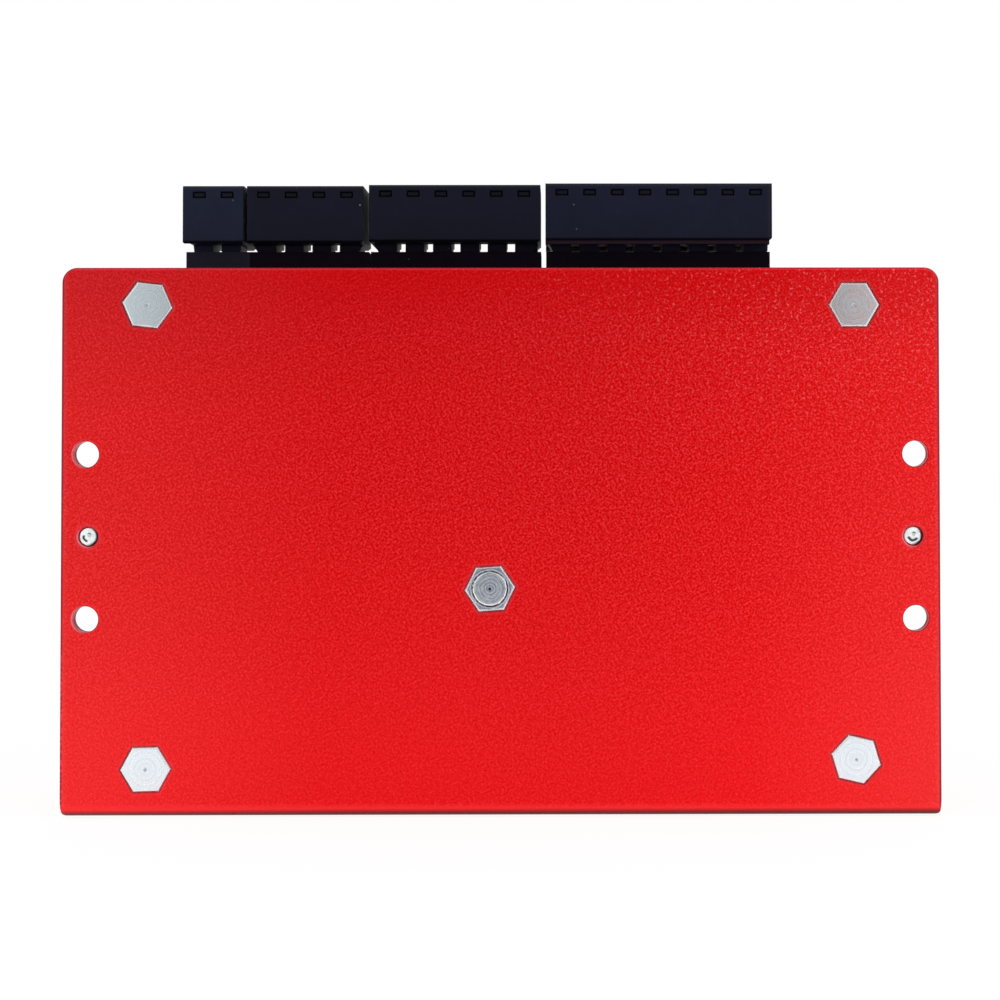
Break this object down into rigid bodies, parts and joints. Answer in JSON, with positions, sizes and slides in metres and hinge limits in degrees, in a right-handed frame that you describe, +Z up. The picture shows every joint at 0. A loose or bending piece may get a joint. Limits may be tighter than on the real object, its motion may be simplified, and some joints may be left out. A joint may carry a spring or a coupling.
{
  "type": "servo driver",
  "caption": "Servo motor driver: red L-shaped base plate and cover round a circuit board, with pluggable black screw terminal blocks along the top edge.",
  "frame": {"origin": "centre of the four mounting holes, on the outer face of the base plate", "axes": "+X along the terminal row, to the right seen from the base plate's outside; +Y from the base plate into the case; +Z up towards the terminals"},
  "size_m": [0.1174, 0.03, 0.0858],
  "materials": {
    "red_case": "red anodised sheet with a fine bead-blasted grain",
    "steel": "zinc-plated steel",
    "board": "green solder mask over glass laminate",
    "black_plastic": "matt moulded plastic, bluish black",
    "tin": "tin-plated copper alloy",
    "chip": "moulded epoxy",
    "pad": "grey silicone sheet",
    "bush": "natural moulded plastic",
    "can": "sleeved aluminium can",
    "ferrite": "matt dark ferrite",
    "white_plastic": "off-white moulded plastic",
    "ceramic": "ceramic",
    "lens": "tinted clear plastic"
  },
  "bodies": {
    "case": {"base_plate": "red_case", "standoffs": "steel", "circuit_board": "board", "board_screws": "steel", "cover": "red_case", "cover_screws": "steel", "transistor_packages": "chip", "transistor_frames": "tin", "thermal_pads": "pad", "insulating_bushes": "bush", "transistor_screws": "steel", "header_pins": "tin", "bulk_capacitors": "can", "buck_inductor": "ferrite", "microcontroller": "chip", "gate_drivers": "chip", "current_shunts": "chip", "optocouplers": "white_plastic", "interface_chips": "chip", "crystal": "tin", "diodes": "chip", "chip_parts": "ceramic", "lamp_holder": "black_plastic", "lamps": "lens", "header_2_pole": "black_plastic", "header_4_pole": "black_plastic", "header_6_pole": "black_plastic", "header_8_pole": "black_plastic"},
    "plug_2_pole": {"plug_housing_2_pole": "black_plastic", "plug_contacts_2_pole": "tin", "clamp_cages_2_pole": "steel"},
    "plug_4_pole": {"plug_housing_4_pole": "black_plastic", "plug_contacts_4_pole": "tin", "clamp_cages_4_pole": "steel"},
    "plug_6_pole": {"plug_housing_6_pole": "black_plastic", "plug_contacts_6_pole": "tin", "clamp_cages_6_pole": "steel"},
    "plug_8_pole": {"plug_housing_8_pole": "black_plastic", "plug_contacts_8_pole": "tin", "clamp_cages_8_pole": "steel"},
    "clamp_screw_2_1": {"clamp_screw_2_1": "steel"},
    "clamp_screw_2_2": {"clamp_screw_2_2": "steel"},
    "clamp_screw_4_1": {"clamp_screw_4_1": "steel"},
    "clamp_screw_4_2": {"clamp_screw_4_2": "steel"},
    "clamp_screw_4_3": {"clamp_screw_4_3": "steel"},
    "clamp_screw_4_4": {"clamp_screw_4_4": "steel"},
    "clamp_screw_6_1": {"clamp_screw_6_1": "steel"},
    "clamp_screw_6_2": {"clamp_screw_6_2": "steel"},
    "clamp_screw_6_3": {"clamp_screw_6_3": "steel"},
    "clamp_screw_6_4": {"clamp_screw_6_4": "steel"},
    "clamp_screw_6_5": {"clamp_screw_6_5": "steel"},
    "clamp_screw_6_6": {"clamp_screw_6_6": "steel"},
    "clamp_screw_8_1": {"clamp_screw_8_1": "steel"},
    "clamp_screw_8_2": {"clamp_screw_8_2": "steel"},
    "clamp_screw_8_3": {"clamp_screw_8_3": "steel"},
    "clamp_screw_8_4": {"clamp_screw_8_4": "steel"},
    "clamp_screw_8_5": {"clamp_screw_8_5": "steel"},
    "clamp_screw_8_6": {"clamp_screw_8_6": "steel"},
    "clamp_screw_8_7": {"clamp_screw_8_7": "steel"},
    "clamp_screw_8_8": {"clamp_screw_8_8": "steel"}
  },
  "joints": [
    {"name": "plug_2_pole_pull", "type": "slide", "parent": "case", "child": "plug_2_pole", "axis": [0, 0, 1], "range_m": [0, 0.012]},
    {"name": "plug_4_pole_pull", "type": "slide", "parent": "case", "child": "plug_4_pole", "axis": [0, 0, 1], "range_m": [0, 0.012]},
    {"name": "plug_6_pole_pull", "type": "slide", "parent": "case", "child": "plug_6_pole", "axis": [0, 0, 1], "range_m": [0, 0.012]},
    {"name": "plug_8_pole_pull", "type": "slide", "parent": "case", "child": "plug_8_pole", "axis": [0, 0, 1], "range_m": [0, 0.012]},
    {"name": "clamp_screw_2_1_turn", "type": "hinge", "parent": "plug_2_pole", "child": "clamp_screw_2_1", "pos_m": [-0.0417, 0.0149, 0.0443], "axis": [0, -1, 0], "range_deg": [0, 1800]},
    {"name": "clamp_screw_2_2_turn", "type": "hinge", "parent": "plug_2_pole", "child": "clamp_screw_2_2", "pos_m": [-0.03789, 0.0149, 0.0443], "axis": [0, -1, 0], "range_deg": [0, 1800]},
    {"name": "clamp_screw_4_1_turn", "type": "hinge", "parent": "plug_4_pole", "child": "clamp_screw_4_1", "pos_m": [-0.03289, 0.0149, 0.0443], "axis": [0, -1, 0], "range_deg": [0, 1800]},
    {"name": "clamp_screw_4_2_turn", "type": "hinge", "parent": "plug_4_pole", "child": "clamp_screw_4_2", "pos_m": [-0.02908, 0.0149, 0.0443], "axis": [0, -1, 0], "range_deg": [0, 1800]},
    {"name": "clamp_screw_4_3_turn", "type": "hinge", "parent": "plug_4_pole", "child": "clamp_screw_4_3", "pos_m": [-0.02527, 0.0149, 0.0443], "axis": [0, -1, 0], "range_deg": [0, 1800]},
    {"name": "clamp_screw_4_4_turn", "type": "hinge", "parent": "plug_4_pole", "child": "clamp_screw_4_4", "pos_m": [-0.02146, 0.0149, 0.0443], "axis": [0, -1, 0], "range_deg": [0, 1800]},
    {"name": "clamp_screw_6_1_turn", "type": "hinge", "parent": "plug_6_pole", "child": "clamp_screw_6_1", "pos_m": [-0.01611, 0.0149, 0.04445], "axis": [0, -1, 0], "range_deg": [0, 1800]},
    {"name": "clamp_screw_6_2_turn", "type": "hinge", "parent": "plug_6_pole", "child": "clamp_screw_6_2", "pos_m": [-0.0123, 0.0149, 0.04445], "axis": [0, -1, 0], "range_deg": [0, 1800]},
    {"name": "clamp_screw_6_3_turn", "type": "hinge", "parent": "plug_6_pole", "child": "clamp_screw_6_3", "pos_m": [-0.00849, 0.0149, 0.04445], "axis": [0, -1, 0], "range_deg": [0, 1800]},
    {"name": "clamp_screw_6_4_turn", "type": "hinge", "parent": "plug_6_pole", "child": "clamp_screw_6_4", "pos_m": [-0.00468, 0.0149, 0.04445], "axis": [0, -1, 0], "range_deg": [0, 1800]},
    {"name": "clamp_screw_6_5_turn", "type": "hinge", "parent": "plug_6_pole", "child": "clamp_screw_6_5", "pos_m": [-0.00087, 0.0149, 0.04445], "axis": [0, -1, 0], "range_deg": [0, 1800]},
    {"name": "clamp_screw_6_6_turn", "type": "hinge", "parent": "plug_6_pole", "child": "clamp_screw_6_6", "pos_m": [0.00294, 0.0149, 0.04445], "axis": [0, -1, 0], "range_deg": [0, 1800]},
    {"name": "clamp_screw_8_1_turn", "type": "hinge", "parent": "plug_8_pole", "child": "clamp_screw_8_1", "pos_m": [0.00819, 0.0149, 0.04465], "axis": [0, -1, 0], "range_deg": [0, 1800]},
    {"name": "clamp_screw_8_2_turn", "type": "hinge", "parent": "plug_8_pole", "child": "clamp_screw_8_2", "pos_m": [0.012, 0.0149, 0.04465], "axis": [0, -1, 0], "range_deg": [0, 1800]},
    {"name": "clamp_screw_8_3_turn", "type": "hinge", "parent": "plug_8_pole", "child": "clamp_screw_8_3", "pos_m": [0.01581, 0.0149, 0.04465], "axis": [0, -1, 0], "range_deg": [0, 1800]},
    {"name": "clamp_screw_8_4_turn", "type": "hinge", "parent": "plug_8_pole", "child": "clamp_screw_8_4", "pos_m": [0.01962, 0.0149, 0.04465], "axis": [0, -1, 0], "range_deg": [0, 1800]},
    {"name": "clamp_screw_8_5_turn", "type": "hinge", "parent": "plug_8_pole", "child": "clamp_screw_8_5", "pos_m": [0.02343, 0.0149, 0.04465], "axis": [0, -1, 0], "range_deg": [0, 1800]},
    {"name": "clamp_screw_8_6_turn", "type": "hinge", "parent": "plug_8_pole", "child": "clamp_screw_8_6", "pos_m": [0.02724, 0.0149, 0.04465], "axis": [0, -1, 0], "range_deg": [0, 1800]},
    {"name": "clamp_screw_8_7_turn", "type": "hinge", "parent": "plug_8_pole", "child": "clamp_screw_8_7", "pos_m": [0.03105, 0.0149, 0.04465], "axis": [0, -1, 0], "range_deg": [0, 1800]},
    {"name": "clamp_screw_8_8_turn", "type": "hinge", "parent": "plug_8_pole", "child": "clamp_screw_8_8", "pos_m": [0.03486, 0.0149, 0.04465], "axis": [0, -1, 0], "range_deg": [0, 1800]}
  ]
}
